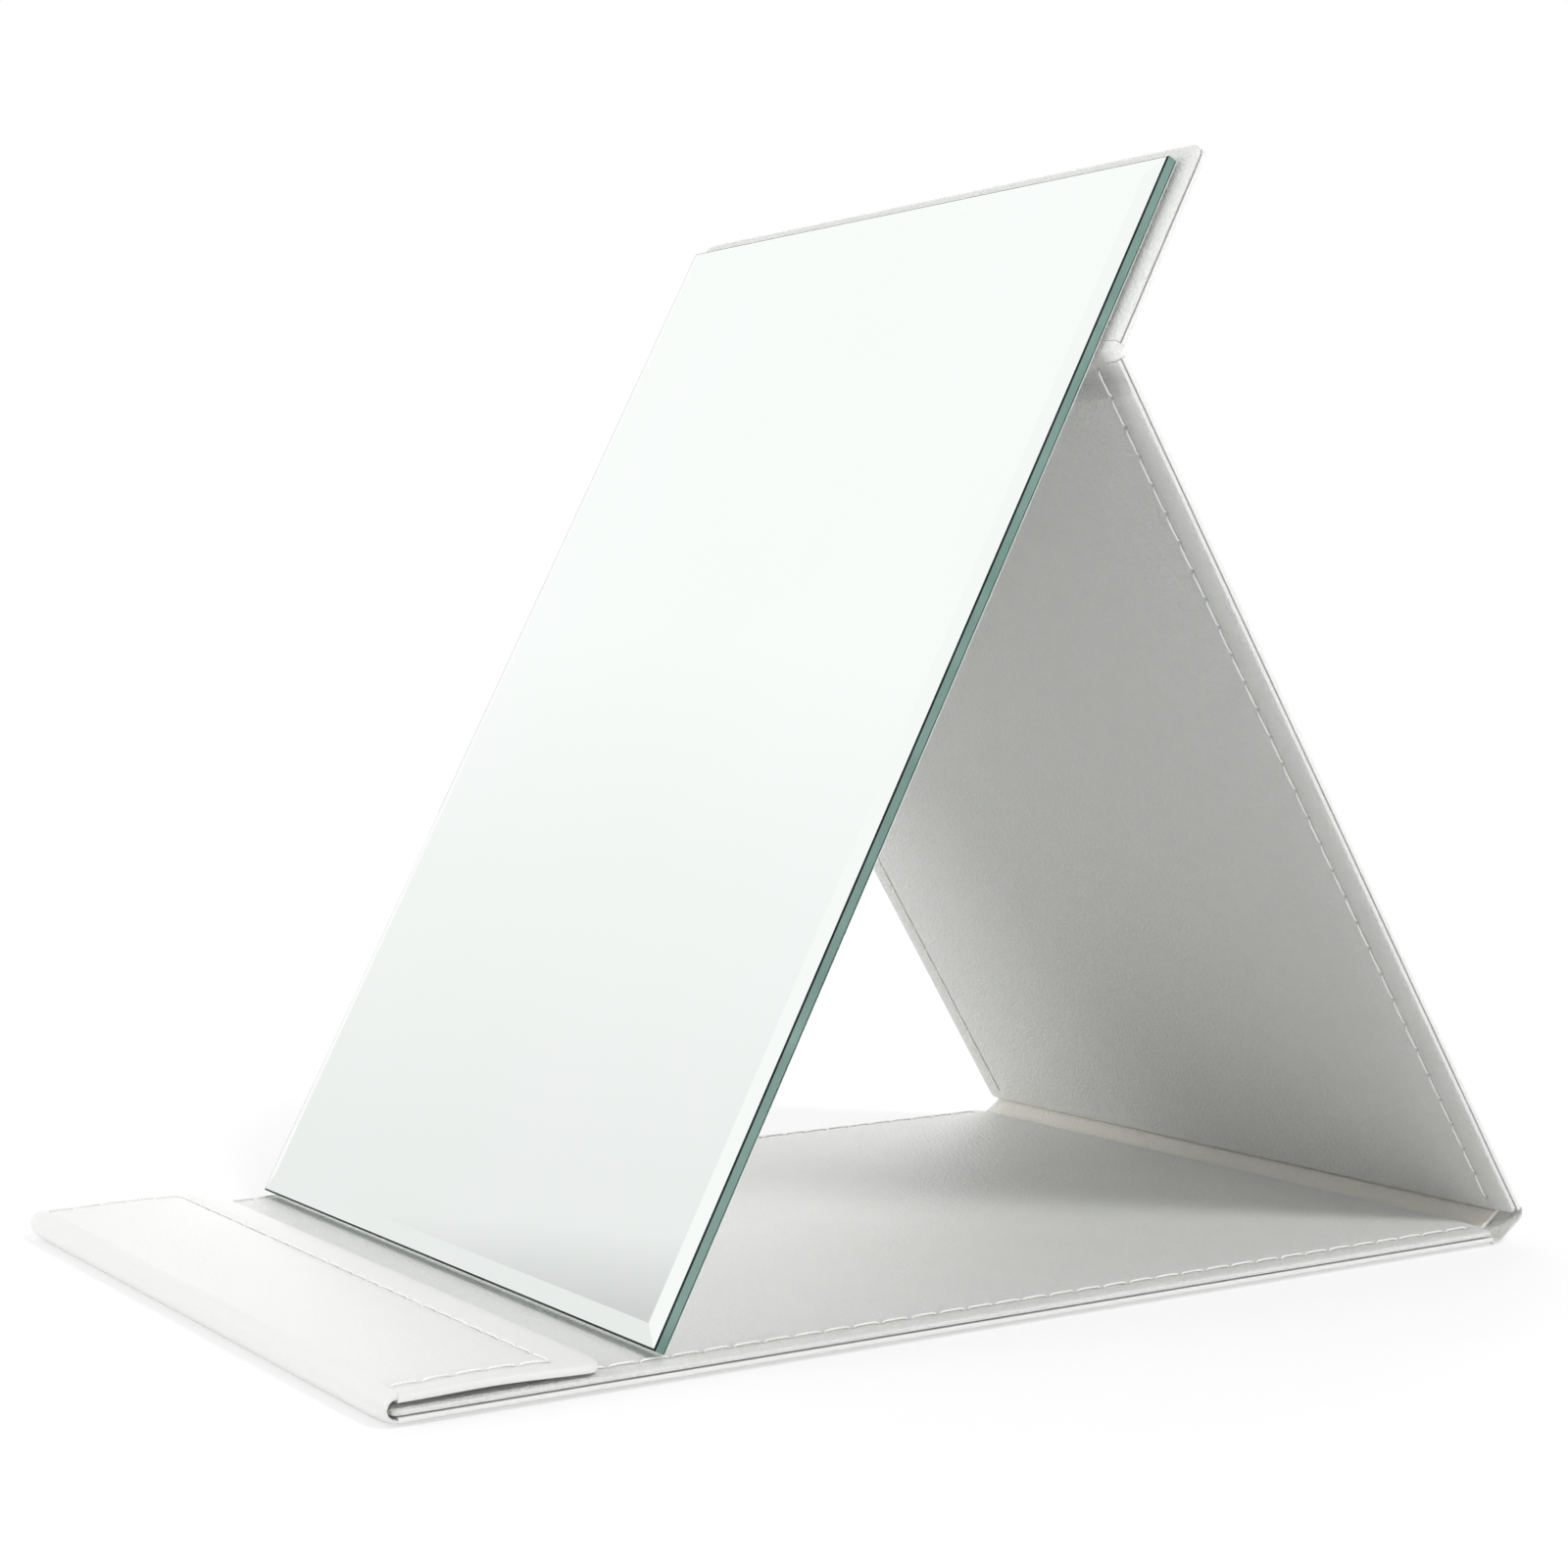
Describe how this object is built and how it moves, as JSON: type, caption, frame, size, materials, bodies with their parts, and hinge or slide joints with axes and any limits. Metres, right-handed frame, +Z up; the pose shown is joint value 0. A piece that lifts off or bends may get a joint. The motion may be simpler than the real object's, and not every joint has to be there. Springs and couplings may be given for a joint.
{
  "type": "folding tabletop makeup mirror",
  "caption": "Folding leather cover that stands up as a tent and holds a rectangular bevelled makeup mirror, with a flap that folds back on its base.",
  "frame": {"origin": "centre of the standing mirror's footprint, on the table", "axes": "+X across the width, +Y from the flap to the rear spine, +Z up"},
  "size_m": [0.17, 0.2348, 0.2004],
  "materials": {
    "cover_leather": "satin",
    "lining_leather": "satin",
    "board": "matte",
    "thread": "satin",
    "magnet": "satin",
    "keeper_steel": "satin",
    "tape": "matte",
    "back_paint": "matte",
    "mirror": "polished"
  },
  "bodies": {
    "base": {"base_cover": "cover_leather", "base_board": "board", "base_lining": "lining_leather", "base_stitching": "thread"},
    "front_spine": {"front_spine_cover": "cover_leather", "front_spine_lining": "lining_leather"},
    "flap": {"flap_cover": "cover_leather", "flap_board": "board", "flap_lining": "lining_leather", "flap_magnets": "magnet", "flap_stitching": "thread"},
    "rear_spine": {"rear_spine_cover": "cover_leather", "rear_spine_lining": "lining_leather"},
    "leg": {"leg_cover": "cover_leather", "leg_board": "board", "leg_lining": "lining_leather", "leg_stitching": "thread"},
    "mirror": {"top_cover": "cover_leather", "top_board": "board", "top_lining": "lining_leather", "top_keepers": "keeper_steel", "top_stitching": "thread", "mounting_tape": "tape", "mirror_backing": "back_paint", "mirror_glass": "mirror"}
  },
  "joints": [
    {"name": "tilt_fold", "type": "hinge", "parent": "base", "child": "rear_spine", "pos_m": [0, 0.11047, 0.0009], "axis": [-1, 0, 0], "range_deg": [-1.8, 29.2]},
    {"name": "leg_fold", "type": "hinge", "parent": "rear_spine", "child": "leg", "pos_m": [0, 0.11648, 0.00521], "axis": [-1, 0, 0], "range_deg": [0, 90]},
    {"name": "mirror_fold", "type": "hinge", "parent": "leg", "child": "mirror", "pos_m": [0, 0.02093, 0.16422], "axis": [-1, 0, 0], "range_deg": [-58.4, 3.6]},
    {"name": "front_fold", "type": "hinge", "parent": "base", "child": "front_spine", "pos_m": [0, -0.11648, 0.0009], "axis": [1, 0, 0], "range_deg": [0, 90]},
    {"name": "flap_fold", "type": "hinge", "parent": "front_spine", "child": "flap", "pos_m": [0, -0.11648, 0.0048], "axis": [1, 0, 0], "range_deg": [0, 90]}
  ],
  "couplings": [
    {"joint": "mirror_fold", "follows": "tilt_fold", "ratio": -2},
    {"joint": "flap_fold", "follows": "front_fold", "ratio": 1}
  ]
}
